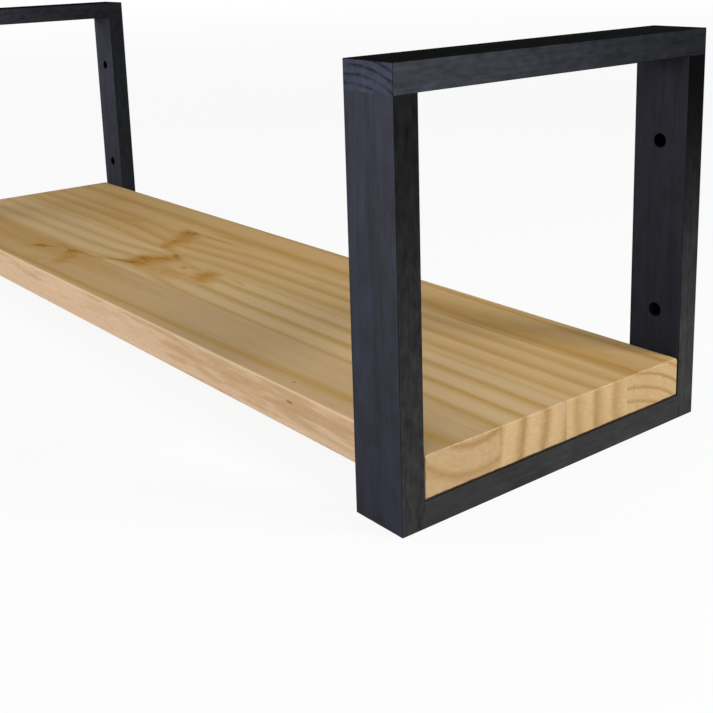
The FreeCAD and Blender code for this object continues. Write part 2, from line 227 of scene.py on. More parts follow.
class FinishGraph(NodeGraph):
    """Lays out the nodes of one finish of the shelf, which end in its shader.

    It holds the point that is being shaded as sockets in millimetres: along the fibres, and across
    and up, the two ways across them. Its seed sets the noise of a piece apart from that of others.
    """

    # How the rings of any piece stray from true circles: over its length, in short waves and in
    # the frayed edge of a year.
    LONG_BEND = Fleck((340, 120, 120), 1.3, 1.0)
    LONG_BEND_SHARE = 2.2
    SHORT_BEND = Fleck((70, 14, 14), 4.1)
    FRAY = Fleck((55, 2.2, 2.2), 3.3)
    NOISE_MIDDLE = 0.5

    def __init__(self, name: str, grain: Grain, seed: float = 0.0) -> None:
        """Start a finish.

        Args:
            name: name of the finish.
            grain: the way the fibres run.
            seed: shifts all noise to another part of itself.
        """
        self.material = bpy.data.materials.new(name)
        super().__init__(self.material)
        self.shader = self.tree.nodes["Principled BSDF"].inputs
        self.seed = seed
        place = self.parted("Object")
        self.along, self.across, self.up = (
            self.product(place[axis], MM_PER_M) for axis in grain.value
        )

    def parted(self, output: str) -> dict[str, Socket]:
        """Part one of the texture coordinates into its axes."""
        place = self.node("ShaderNodeTexCoord").outputs[output]
        split = self.node("ShaderNodeSeparateXYZ", place)
        return {axis: split.outputs[axis] for axis in AXES}

    def facing(self) -> tuple[dict[str, Socket], Socket, Socket]:
        """Tell which way the surface looks.

        Returns:
            How squarely it faces each axis, from 0 to 1, the largest of these, and how far it
            looks up, from -1 to 1.
        """
        way = self.parted("Normal")
        square = {axis: self.calc("ABSOLUTE", part) for axis, part in way.items()}
        largest = self.calc("MAXIMUM", square["X"], square["Y"])
        return square, self.calc("MAXIMUM", largest, square["Z"]), way["Z"]

    def product(self, first: Value, *others: Value) -> Value:
        """Multiply numbers with each other."""
        for other in others:
            first = self.calc("MULTIPLY", first, other)
        return first

    def weigh(self, base: Value, *parts: tuple[Value, Value]) -> Value:
        """Add numbers to a base, each times its weight."""
        for value, weight in parts:
            base = self.calc("MULTIPLY_ADD", value, weight, base)
        return base

    def square_sum(self, *values: Value) -> Value:
        """Add up the squares of numbers."""
        return self.weigh(0.0, *((value, value) for value in values))

    def bell(self, *values: Value) -> Socket:
        """Give 1 where all the numbers are 0, fading to 0 as they grow."""
        return self.calc("EXPONENT", self.product(self.square_sum(*values), -1.0))

    def offset(self, value: Value, middle: float, reach: float = 1.0) -> Socket:
        """Measure how far a number lies from a middle, in steps of a reach."""
        return self.calc("MULTIPLY_ADD", value, 1.0 / reach, -middle / reach)

    def without(self, share: Value) -> Socket:
        """Give what a share leaves of 1."""
        return self.calc("SUBTRACT", 1.0, share)

    def between(self, share: Value, under: Value, over: Value) -> Socket:
        """Go by a share from one number to another."""
        return self.calc("MULTIPLY_ADD", self.calc("SUBTRACT", over, under), share, under)

    def spread(self, value: Value, slope: Slope) -> Socket:
        """Map a number by a smooth step, held at both ends."""
        limits = (slope.low, slope.high, slope.start, slope.end)
        step = self.node("ShaderNodeMapRange", value, *limits, interpolation_type="SMOOTHSTEP")
        return step.outputs[0]

    def noise(self, fleck: Fleck) -> Socket:
        """Make soft noise on a piece.

        Args:
            fleck: the kind of noise.

        Returns:
            A number about 0, mostly between -0.5 and 0.5.
        """
        parts = zip((self.along, self.across, self.up), fleck.lengths)
        scaled = [
            self.calc("MULTIPLY_ADD", part, 1.0 / length, (self.seed + fleck.shift) * step)
            for step, (part, length) in enumerate(parts, start=1)
        ]
        made = self.node("ShaderNodeTexNoise", self.node("ShaderNodeCombineXYZ", *scaled).outputs[0])
        made.inputs["Scale"].default_value = 1.0
        made.inputs["Detail"].default_value = fleck.detail
        return self.calc("SUBTRACT", made.outputs[0], self.NOISE_MIDDLE)

    def ramp(self, value: Socket, stops: Sequence[Pair]) -> Socket:
        """Turn a number from 0 to 1 into another by straight runs between stops.

        Args:
            value: the number.
            stops: places from 0 to 1 and the result at each.

        Returns:
            The result.
        """
        made = self.node("ShaderNodeValToRGB", value)
        elements = made.color_ramp.elements
        while len(elements) < len(stops):
            elements.new(1.0)
        for element, (place, level) in zip(elements, stops):
            element.position = place
            element.color = (level, level, level, 1.0)
        return made.outputs[0]

    def blend(
        self, share: Value, under: Triple | Socket, over: Triple | Socket, mode: str = "MIX"
    ) -> Socket:
        """Lay one colour over another.

        Args:
            share: how much of the upper colour shows, from 0 to 1.
            under: the lower colour.
            over: the upper colour.
            mode: Blender's name for the way of mixing.

        Returns:
            The mixed colour.
        """
        made = self.node("ShaderNodeMix", data_type="RGBA", blend_type=mode)
        sockets = {socket.identifier: socket for socket in made.inputs}
        self.feed(sockets["Factor_Float"], share)
        for name, colour in (("A_Color", under), ("B_Color", over)):
            self.feed(sockets[name], (*colour, 1.0) if isinstance(colour, tuple) else colour)
        return next(socket for socket in made.outputs if socket.identifier == "Result_Color")

    def tint(self, colour: Socket, strength: Value) -> Socket:
        """Make a colour lighter or darker: a strength of 1 leaves it as it is."""
        made = self.node("ShaderNodeVectorMath", colour, operation="SCALE")
        self.feed(made.inputs["Scale"], strength)
        return made.outputs[0]

    def rings(self, growth: Growth, pull: Value = 0.0) -> tuple[Socket, Socket]:
        """Follow the yearly rings through the solid, so that faces and ends agree.

        Args:
            growth: the tree that the piece was sawn from.
            pull: how far knots draw the rings outward here, in millimetres.

        Returns:
            The share of late wood in the year's growth, from 0 to 1, and a number about 0 that
            differs from year to year.
        """
        from_heart = (
            self.weigh(-growth.heart_across, (self.across, 1.0), (self.along, -growth.lean_across)),
            self.weigh(-growth.heart_up, (self.up, 1.0), (self.along, -growth.lean_up)),
        )
        strays = (
            (self.noise(self.LONG_BEND), self.LONG_BEND_SHARE * growth.waver),
            (self.noise(self.SHORT_BEND), growth.waver),
            (self.noise(self.FRAY), growth.feather),
        )
        radius = self.calc("SQRT", self.square_sum(*from_heart))
        moved = self.calc("ADD", self.weigh(radius, *strays), pull)
        years = self.weigh(growth.ring_start, (moved, 1.0 / growth.ring_width))
        late = self.ramp(self.calc("FRACT", years), growth.year())
        lot = self.node("ShaderNodeTexWhiteNoise", noise_dimensions="1D")
        self.feed(lot.inputs["W"], self.calc("ADD", self.calc("FLOOR", years), self.seed))
        return late, self.calc("SUBTRACT", lot.outputs["Value"], self.NOISE_MIDDLE)

    def coat(self, colour: Socket, rough: Value, height: Value, relief: float) -> bpy.types.Material:
        """Lead the finished maps into the shader.

        Args:
            colour: the colour.
            rough: the roughness.
            height: the height of the surface.
            relief: how far a height of 1 stands above 0, in millimetres.

        Returns:
            The finish.
        """
        bump = self.node("ShaderNodeBump")
        bump.inputs["Strength"].default_value = 1.0
        bump.inputs["Distance"].default_value = relief * MM
        self.feed(bump.inputs["Height"], height)
        maps = {"Base Color": colour, "Roughness": rough, "Normal": bump.outputs[0]}
        for name, value in maps.items():
            self.feed(self.shader[name], value)
        return self.material


@dataclass(frozen=True)
class RingPush:
    """A branch near by that pushes the rings outward along a stretch of a strip, in millimetres."""

    x: float
    reach: float
    push: float


@dataclass(frozen=True)
class KnotMark:
    """A soft streak that a branch left in a strip, seen from above, in millimetres and degrees."""

    x: float
    y: float
    length: float
    width: float
    turn: float
    depth: float = 1.0

    def share(self, graph: FinishGraph, across: Socket, back: Socket) -> Socket:
        """Find how much of a spot lies in the streak.

        Args:
            graph: the finish.
            across: distance from the streak's middle along the shelf.
            back: distance from its middle towards the wall.

        Returns:
            The share, 1 in the middle and fading outward.
        """
        cos = math.cos(math.radians(self.turn))
        sin = math.sin(math.radians(self.turn))
        run = graph.weigh(0.0, (across, cos / self.length), (back, sin / self.length))
        aside = graph.weigh(0.0, (across, -sin / self.width), (back, cos / self.width))
        return graph.bell(run, aside)


@dataclass(frozen=True)
class KnotRim:
    """A curved streak along part of an oval round a branch, seen from above.

    The middle and the half sizes of the oval are in millimetres. The streak is darkest where the
    oval faces, in degrees from the shelf's right, fades over the opening to both sides, and is
    band thick as a share of the oval. Nearest is how close to the middle it is worked out.
    """

    x: float
    y: float
    length: float
    width: float
    faces: float
    opening: float
    band: float
    depth: float
    nearest: float = 0.001

    def share(self, graph: FinishGraph, across: Socket, back: Socket) -> Socket:
        """Find how much of a spot lies in the rim.

        Args:
            graph: the finish.
            across: distance from the oval's middle along the shelf.
            back: distance from its middle towards the wall.

        Returns:
            The share, 1 where the rim is darkest and fading outward.
        """
        run = graph.product(across, 1.0 / self.length)
        aside = graph.product(back, 1.0 / self.width)
        square = graph.calc("MAXIMUM", graph.square_sum(run, aside), self.nearest)
        radius = graph.calc("SQRT", square)
        faces = math.radians(self.faces)
        towards = graph.weigh(0.0, (run, math.cos(faces)), (aside, math.sin(faces)))
        opening = Slope(math.cos(math.radians(self.opening)), 1.0)
        facing = graph.spread(graph.calc("DIVIDE", towards, radius), opening)
        return graph.product(graph.bell(graph.offset(radius, 1.0, self.band)), facing)


@dataclass(frozen=True)
class ResinPocket:
    """A small dark pocket of resin: its middle and its half sizes, in millimetres."""

    x: float
    y: float
    z: float
    length: float
    width: float
    height: float


@dataclass(frozen=True)
class PineStrip:
    """One strip of the board: its node, the tree it came from and the marks of branches in it.

    Its contrast is how strongly the late wood shows and its oil the share of the deep tone that the
    oil took, both at the right and at the left.
    """

    node: str
    growth: Growth
    knots: tuple[KnotMark | KnotRim, ...]
    pushes: tuple[RingPush, ...] = ()
    pockets: tuple[ResinPocket, ...] = ()
    contrast: Pair = (1.0, 1.0)
    oil: Pair = (0.0, 1.0)
    pale: Triple | None = None
    sanded_edge: float | None = None


@dataclass(frozen=True)
class Bore:
    """A hole through a back post: its middle along the shelf, its height and its radius."""

    middle: float
    height: float
    radius: float


# The three casts that the black stain dried to.
PLAIN_BLACK: Triple = (1.0, 1.02, 1.0)
VIOLET_BLACK: Triple = (1.0, 1.0, 1.25)
SEA_BLACK: Triple = (0.95, 1.05, 1.22)


@dataclass(frozen=True)
class Batten:
    """One batten of a frame.

    It holds the end of its node's name, the way its fibres run, where the heart of the tree lies
    from its middle, the width of its rings, and how light its faces are painted: the broad and
    the narrow faces from the low or room end to the other, and the ends. These levels are the
    stain's near-black tone with painted light and shade on it, for how much light each face gets
    and how that changes along the batten. Its mottle is how much darker and lighter patches stand
    out on the narrow faces.
    """

    part: str
    grain: Grain
    heart: Pair
    ring_width: float
    broad: Pair
    narrow: Pair
    end: float = 0.058
    broad_hue: Triple = VIOLET_BLACK
    narrow_hue: Triple = PLAIN_BLACK
    gloss: float = 0.03
    mottle: float = 1.15
    bores: tuple[Bore, ...] = ()


@dataclass(frozen=True)
class PineFinish:
    """Planed pine under a thin clear oil."""

    # Colours of the wood, the knots and the resinous places, of the upper arrises, which are sanded
    # pale and carry a painted highlight, and of the painted shadow at the foot of the board's ends.
    spring_wood: Triple = (0.652, 0.462, 0.243)
    late_wood: Triple = (0.485, 0.295, 0.085)
    end_late_wood: Triple = (0.405, 0.245, 0.1)
    knot_wood: Triple = (0.47, 0.252, 0.052)
    knot_core: Triple = (0.33, 0.15, 0.03)
    resin: Triple = (0.30, 0.16, 0.055)
    edge_wood: Triple = (0.655, 0.468, 0.312)
    edge_band: Triple = (0.5, 0.325, 0.182)
    worn_and_highlit_wood: Triple = (0.76, 0.57, 0.36)
    seat_shadow: Triple = (0.008, 0.007, 0.006)
    deep_oil: Triple = (0.96, 0.90, 0.76)

    # Fine and coarse marks of the grain, of the saw, of crumbled ends and in the knots.
    fibre: Fleck = Fleck((90, 0.9, 0.9), 7.7, 3.0)
    streak: Fleck = Fleck((420, 5, 5), 9.2, 3.0)
    cloud: Fleck = Fleck((160, 45, 45), 2.6)
    canal: Fleck = Fleck((16, 0.8, 0.8), 5.5, 0.0)
    saw: Fleck = Fleck((120, 5.0, 2.2), 13.1, 5.0)
    chips: Fleck = Fleck((20, 8, 8), 16.3, 3.0)
    edge_streak: Fleck = Fleck((44, 20, 5), 12.4, 6.0)
    edge_grit: Fleck = Fleck((11, 6, 1.5), 15.2, 5.0)
    knot_bend: Fleck = Fleck((24, 11, 11), 3.9, 4.0)
    knot_sway: Fleck = Fleck((22, 13, 13), 6.4, 4.0)
    knot_grit: Fleck = Fleck((9, 2, 2), 8.8, 4.0)
    knot_patch: Fleck = Fleck((18, 9, 9), 1.9)

    # How much each mark lightens, darkens or shifts the wood.
    lot_depth: float = 0.5
    streak_depth: float = 0.5
    fibre_tone: float = 0.22
    streak_tone: float = 0.2
    cloud_tone: float = 0.14
    saw_tone: float = 0.08
    end_saw_tone: float = 0.22
    grit_share: float = 0.6
    grit_tone: float = 0.42
    knot_bend_reach: float = 18.0
    knot_sway_reach: float = 12.0
    knot_grit_depth: float = 0.9
    knot_patch_depth: float = 1.1
    faintest_knot: float = 0.2

    # Where along the board its right and its left tone are reached, its lowest face and its edge.
    right_at: float = 280.0
    left_at: float = -330.0
    seat_level: float = -122.0
    seat_ragged: float = 1.2
    sanding_reach: float = 1.6
    sanded_share: float = 0.85

    # Steps from one kind of wood to the next.
    knot_over_rings: Slope = Slope(0.2, 0.75, 1.0, 0.12)
    streak_as_late: Slope = Slope(0.02, 0.3, 0.0, 0.45)
    knot_step: Slope = Slope(-0.1, 1.3)
    core_step: Slope = Slope(1.0, 1.8)
    canal_step: Slope = Slope(0.22, 0.32, 0.0, 0.3)
    pocket_step: Slope = Slope(0.3, 1.6, 0.9, 0.0)
    edge_streaks_along: Slope = Slope(-60.0, 260.0, -0.12, 0.12)
    edge_streaks_up: Slope = Slope(-113.0, -104.0, -0.1, 0.06)
    edge_step: Slope = Slope(-0.1, 0.22)
    arris_step: Slope = Slope(0.8, 0.97, 1.0, 0.0)
    upper_step: Slope = Slope(0.1, 0.4, 0.0, 0.8)
    worn_step: Slope = Slope(-0.3, 0.1, 0.4, 1.0)
    end_step: Slope = Slope(0.5, 0.9)
    end_arris_step: Slope = Slope(0.1, 0.4, 0.0, 0.85)
    chip_step: Slope = Slope(-0.14, 0.14, 1.0, 0.0)
    seat_step: Slope = Slope(1.1, 2.0, 0.95, 0.0)

    # The sheen and the relief of the surface.
    roughness: float = 0.68
    fibre_roughness: float = 0.18
    late_roughness: float = -0.08
    gloss: float = 0.03
    fibre_height: float = 0.5
    late_height: float = 0.4
    relief: float = 0.05

    def material(self, strip: PineStrip) -> bpy.types.Material:
        """Make the finish of one strip.

        Args:
            strip: the strip, with the tree that it was sawn from and its knots.

        Returns:
            The finish.
        """
        graph = FinishGraph(f"pine.{strip.node}", Grain.ALONG_SHELF, strip.growth.seed)
        marks = (self.fibre, self.streak, self.cloud, self.canal, self.saw)
        fibre, streak, cloud, canal, saw = (graph.noise(mark) for mark in marks)
        knot = self.knot_share(graph, strip.knots)
        late = self.late_share(graph, strip, knot, streak)
        end, worn_and_highlit, seat_shade = self.face_shares(graph, fibre)

        dark = graph.blend(end, self.late_wood, self.end_late_wood)
        colour = graph.blend(late, strip.pale or self.spring_wood, dark)
        oil = graph.product(self.right_to_left(graph, strip.oil), graph.without(end))
        colour = graph.blend(oil, colour, self.deep_oil, "MULTIPLY")
        if strip.sanded_edge is not None:
            inner = strip.sanded_edge + self.sanding_reach
            sanded = Slope(strip.sanded_edge, inner, self.sanded_share, 0.0)
            edge = graph.spread(graph.across, sanded)
            colour = graph.blend(edge, colour, self.edge_colour(graph))
        # Upper arrises: sanding wear with a painted highlight. Lowest edge of each end: a painted
        # shadow.
        layers = (
            (worn_and_highlit, self.worn_and_highlit_wood),
            (seat_shade, self.seat_shadow),
            (graph.spread(knot, self.knot_step), self.knot_wood),
            (graph.spread(knot, self.core_step), self.knot_core),
            (graph.spread(canal, self.canal_step), self.resin),
            *((self.pocket_share(graph, pocket), self.resin) for pocket in strip.pockets),
        )
        for share, wood in layers:
            colour = graph.blend(share, colour, wood)
        level = graph.weigh(
            1.0,
            (fibre, self.fibre_tone),
            (saw, graph.weigh(self.saw_tone, (end, self.end_saw_tone))),
            (streak, self.streak_tone),
            (cloud, self.cloud_tone),
        )

        rough = graph.weigh(
            self.roughness, (fibre, self.fibre_roughness), (late, self.late_roughness)
        )
        height = graph.weigh(0.0, (late, self.late_height), (fibre, self.fibre_height))
        graph.shader["Specular IOR Level"].default_value = self.gloss
        return graph.coat(graph.tint(colour, level), rough, height, self.relief)

    def right_to_left(self, graph: FinishGraph, tones: Pair) -> Socket:
        """Go from a strip's right tone to its left one."""
        return graph.spread(graph.along, Slope(self.right_at, self.left_at, *tones))

    def late_share(
        self, graph: FinishGraph, strip: PineStrip, knot: Socket, streak: Socket
    ) -> Socket:
        """Find how much of a spot is late wood.

        Args:
            graph: the finish.
            strip: the strip.
            knot: share of knot, which hides the rings.
            streak: noise in long streaks, which darkens some of the wood between them.

        Returns:
            The share from 0 to 1.
        """
        pull: Value = 0.0
        for branch in strip.pushes:
            fade = graph.bell(graph.offset(graph.along, branch.x, branch.reach))
            pull = graph.weigh(pull, (fade, -branch.push))
        late, lot = graph.rings(strip.growth, pull)
        contrast = self.right_to_left(graph, strip.contrast)
        strength = graph.weigh(contrast, (lot, self.lot_depth), (streak, self.streak_depth))
        late = graph.product(late, strength, graph.spread(knot, self.knot_over_rings))
        return graph.calc("MAXIMUM", late, graph.spread(streak, self.streak_as_late))

    def edge_colour(self, graph: FinishGraph) -> Socket:
        """Colour the front edge, where the saw crossed the rings at a flat angle.

        Args:
            graph: the finish.

        Returns:
            The colour, pale on the left and streaked with late wood on the right.
        """
        grit = graph.noise(self.edge_grit)
        share = graph.weigh(
            graph.noise(self.edge_streak),
            (graph.spread(graph.along, self.edge_streaks_along), 1.0),
            (graph.spread(graph.up, self.edge_streaks_up), 1.0),
            (grit, self.grit_share),
        )
        colour = graph.blend(graph.spread(share, self.edge_step), self.edge_wood, self.edge_band)
        return graph.tint(colour, graph.weigh(1.0, (grit, self.grit_tone)))

    def face_shares(self, graph: FinishGraph, fibre: Socket) -> tuple[Socket, Socket, Socket]:
        """Tell the ends and the eased arrises of a strip from its other faces.

        Args:
            graph: the finish.
            fibre: noise along the fibres, which breaks the pale line of an arris up.

        Returns:
            Three shares from 0 to 1: of end grain, of upper arris, which sanding left pale and which
            is painted lighter still as a highlight, and of the lowest edge of an end, painted near
            black as the shadow in the gap over the rail under it.
        """
        square, largest, upward = graph.facing()
        chips = graph.noise(self.chips)
        end = graph.spread(square["X"], self.end_step)
        crumbled = graph.product(
            graph.spread(square["X"], self.end_arris_step), graph.spread(chips, self.chip_step)
        )
        # Painted highlight on the upper arrises, together with the paleness that sanding left there.
        worn_and_highlit = graph.product(
            graph.spread(largest, self.arris_step),
            graph.spread(upward, self.upper_step),
            graph.spread(fibre, self.worn_step),
            graph.without(crumbled),
        )
        # Painted shadow along the lowest edge of each end, in the gap where it sits over the rail.
        height = graph.offset(graph.weigh(graph.up, (chips, self.seat_ragged)), self.seat_level)
        return end, worn_and_highlit, graph.product(graph.spread(height, self.seat_step), end)

    def pocket_share(self, graph: FinishGraph, pocket: ResinPocket) -> Socket:
        """Find how much of a spot lies in a small pocket of dark resin.

        Args:
            graph: the finish.
            pocket: the pocket.

        Returns:
            The share from 0 to 1.
        """
        far = graph.square_sum(
            graph.offset(graph.along, pocket.x, pocket.length),
            graph.offset(graph.across, pocket.y, pocket.width),
            graph.offset(graph.up, pocket.z, pocket.height),
        )
        return graph.spread(far, self.pocket_step)

    def knot_share(self, graph: FinishGraph, knots: Sequence[KnotMark | KnotRim]) -> Socket:
        """Find how much of a spot is wood of a branch.

        Args:
            graph: the finish.
            knots: the marks that branches left in the strip.

        Returns:
            The share, 0 in clear wood and 1 or more in a branch.
        """
        x = graph.weigh(graph.along, (graph.noise(self.knot_bend), self.knot_bend_reach))
        y = graph.weigh(graph.across, (graph.noise(self.knot_sway), self.knot_sway_reach))
        share: Value = 0.0
        for mark in knots:
            part = mark.share(graph, graph.offset(x, mark.x), graph.offset(y, mark.y))
            share = graph.weigh(share, (part, mark.depth))
        patchy = graph.weigh(
            1.0,
            (graph.noise(self.knot_patch), self.knot_patch_depth),
            (graph.noise(self.knot_grit), self.knot_grit_depth),
        )
        return graph.product(share, graph.calc("MAXIMUM", patchy, self.faintest_knot))


@dataclass(frozen=True)
class BlackStainFinish:
    """Thin matt black stain that lets the grain of a batten show."""

    # Casts of the end grain, of the bluer streaks and of the mottle on narrow faces.
    end_hue: Triple = (0.96, 1.02, 1.38)
    streak_hue: Triple = (0.93, 1.0, 1.14)
    mottle_hue: Triple = (1.03, 1.0, 1.04)

    # Fine and coarse marks of the grain and of the stain.
    fibre: Fleck = Fleck((60, 0.8, 0.8), 7.7, 3.0)
    streak: Fleck = Fleck((180, 5, 5), 9.2, 3.0)
    blotch: Fleck = Fleck((22, 9, 9), 2.6, 5.0)
    patch: Fleck = Fleck((9, 6, 4), 6.1, 5.0)

    # How much each mark lightens or darkens the stain, with painted shade along the arrises for
    # their dark reflection, and how light the wall of a hole is, as painted shade inside it.
    fibre_tone: float = 0.6
    streak_tone: float = 0.4
    narrow_streak_tone: float = 0.2
    lot_tone: float = 0.08
    blotch_tone: float = 0.75
    ring_depth: float = 0.1
    end_ring_depth: float = 0.72
    painted_arris_shade: float = 0.55
    narrow_blue_share: float = 0.4
    darkest: float = 0.1
    bore_shade_level: float = 0.16
    bore_edge: float = 0.4

    # Steps from one kind of face or stain to the next.
    face_step: Slope = Slope(0.5, 0.9)
    arris_step: Slope = Slope(0.85, 0.98, 1.0, 0.0)
    patch_step: Slope = Slope(-0.22, 0.2, 0.25, 1.0)
    blue_step: Slope = Slope(-0.3, 0.35)
    mottle_step: Slope = Slope(-0.2, 0.25)

    # The sheen and the relief of the surface.
    roughness: float = 0.8
    late_roughness: float = 0.06
    blotch_roughness: float = 0.2
    fibre_height: float = 0.6
    late_height: float = 0.3
    relief: float = 0.06

    def material(self, batten: Batten, node: str, growth: Growth) -> bpy.types.Material:
        """Make the finish of one batten.

        Args:
            batten: the batten, with how light each of its faces took the stain.
            node: name of its node.
            growth: the tree that it was sawn from.

        Returns:
            The finish.
        """
        graph = FinishGraph(f"black_stain.{node}", batten.grain, growth.seed)
        square, largest, _ = graph.facing()
        narrow = graph.spread(square["X"], self.face_step)
        end = graph.spread(square[batten.grain.value[0]], self.face_step)
        # Painted shade along the arrises, for the dark reflection on the rounded edges.
        arris = graph.spread(largest, self.arris_step)
        late, lot = graph.rings(growth)
        marks = (self.fibre, self.streak, self.blotch, self.patch)
        fibre, streak, blotch, patch = (graph.noise(mark) for mark in marks)

        depth = graph.weigh(self.ring_depth, (end, self.end_ring_depth - self.ring_depth))
        narrow_change = self.narrow_streak_tone - self.streak_tone
        level = graph.weigh(
            1.0,
            (fibre, self.fibre_tone),
            (streak, graph.weigh(self.streak_tone, (narrow, narrow_change))),
            (lot, self.lot_tone),
            (blotch, self.blotch_tone),
            (graph.product(patch, narrow), batten.mottle),
            (graph.product(late, depth, graph.spread(patch, self.patch_step)), -1.0),
            (arris, -self.painted_arris_shade),
        )
        # Painted light and shade: each kind of face gets its own level, faded along the batten.
        stain_and_painted_light = self.stain_and_painted_light(graph, batten, node, narrow, end)
        shade = graph.product(stain_and_painted_light, graph.calc("MAXIMUM", level, self.darkest))
        for bore in batten.bores:
            shade = graph.product(shade, self.bore_shade(graph, bore))

        hue = graph.blend(narrow, batten.broad_hue, batten.narrow_hue)
        hue = graph.blend(end, hue, self.end_hue)
        blue = graph.spread(graph.calc("ADD", streak, blotch), self.blue_step)
        blue = graph.product(blue, graph.weigh(1.0, (narrow, self.narrow_blue_share - 1.0)))
        hue = graph.blend(blue, hue, self.streak_hue, "MULTIPLY")
        mottle = graph.spread(graph.calc("ADD", patch, streak), self.mottle_step)
        hue = graph.blend(graph.product(mottle, narrow), hue, self.mottle_hue, "MULTIPLY")

        rough = graph.weigh(
            self.roughness, (blotch, self.blotch_roughness), (late, self.late_roughness)
        )
        height = graph.weigh(0.0, (late, self.late_height), (fibre, self.fibre_height))
        graph.shader["Specular IOR Level"].default_value = batten.gloss
        return graph.coat(graph.tint(hue, shade), rough, height, self.relief)

    @staticmethod
    def stain_and_painted_light(
        graph: FinishGraph, batten: Batten, node: str, narrow: Socket, end: Socket
    ) -> Socket:
        """Find how light a spot of a batten is painted: the stain's tone with painted light and
        shade.

        Args:
            graph: the finish.
            batten: the batten.
            node: name of its node.
            narrow: share of the narrow faces.
            end: share of the ends.

        Returns:
            The tone, from 0 for pure black.
        """
        along = batten.grain.places()[0]
        low, high = (corner[along] * MM_PER_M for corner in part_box(node))
        broad_tone, narrow_tone = (
            graph.spread(graph.along, Slope(low, high, *tones))
            for tones in (batten.broad, batten.narrow)
        )
        return graph.between(end, graph.between(narrow, broad_tone, narrow_tone), batten.end)

    def bore_shade(self, graph: FinishGraph, bore: Bore) -> Socket:
        """Darken the wall of a hole with painted shade, for the shadow that falls inside it.

        Args:
            graph: the finish.
            bore: the hole.

        Returns:
            1 on the faces round the hole, less inside it.
        """
        up = graph.offset(graph.along, bore.height)
        across = graph.offset(graph.across, bore.middle)
        radius = graph.calc("SQRT", graph.square_sum(up, across))
        edge = Slope(bore.radius, bore.radius + self.bore_edge, self.bore_shade_level, 1.0)
        return graph.spread(radius, edge)


@dataclass(frozen=True)
class BeechFinish:
    """Bare turned beech with its short dark flecks."""

    wood: Triple = (0.60, 0.42, 0.27)
    fleck_wood: Triple = (0.40, 0.24, 0.13)
    fibre: Fleck = Fleck((14, 0.35, 0.35), 1.7)
    fleck: Fleck = Fleck((2.6, 0.28, 0.28), 5.2, 0.0)
    fleck_step: Slope = Slope(0.14, 0.24, 0.0, 0.7)
    fibre_tone: float = 0.3
    roughness: float = 0.62
    fibre_roughness: float = 0.2
    relief: float = 0.04

    def material(self, name: str, grain: Grain) -> bpy.types.Material:
        """Make the finish of the dowels of a joint.

        Args:
            name: name of the finish.
            grain: the way the dowels lie.

        Returns:
            The finish.
        """
        graph = FinishGraph(name, grain)
        fibre = graph.noise(self.fibre)
        fleck = graph.spread(graph.noise(self.fleck), self.fleck_step)
        colour = graph.blend(fleck, self.wood, self.fleck_wood)
        colour = graph.tint(colour, graph.weigh(1.0, (fibre, self.fibre_tone)))
        rough = graph.weigh(self.roughness, (fibre, self.fibre_roughness))
        return graph.coat(colour, rough, fibre, self.relief)


@dataclass(frozen=True)
class ZincFinish:
    """Zinc plating, dull grey with a faint yellow cast and fine turning marks."""

    plating: Triple = (0.60, 0.58, 0.52)
    dull: Triple = (0.42, 0.40, 0.36)
    cloud: Fleck = Fleck((3.0, 2.2, 2.2), 3.1, 4.0)
    marks: Fleck = Fleck((0.18, 2.0, 2.0), 8.3, 1.0)
    cloud_step: Slope = Slope(-0.12, 0.16)
    roughness: float = 0.36
    cloud_roughness: float = 0.25
    mark_roughness: float = 0.12
    relief: float = 0.02

    def material(self, name: str) -> bpy.types.Material:
        """Make the finish of the board screws.

        Args:
            name: name of the finish.

        Returns:
            The finish.
        """
        graph = FinishGraph(name, Grain.UPRIGHT)
        cloud = graph.noise(self.cloud)
        marks = graph.noise(self.marks)
        colour = graph.blend(graph.spread(cloud, self.cloud_step), self.plating, self.dull)
        rough = graph.weigh(
            self.roughness, (cloud, self.cloud_roughness), (marks, self.mark_roughness)
        )
        graph.shader["Metallic"].default_value = 1.0
        return graph.coat(colour, rough, marks, self.relief)


def dress(node: str, finish: bpy.types.Material) -> None:
    """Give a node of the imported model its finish.

    Args:
        node: name of the node.
        finish: the finish.
    """
    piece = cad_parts[node]
    for slot in piece.material_slots:
        slot.material = finish
    log.info("%s dressed in %s", node, finish.name)


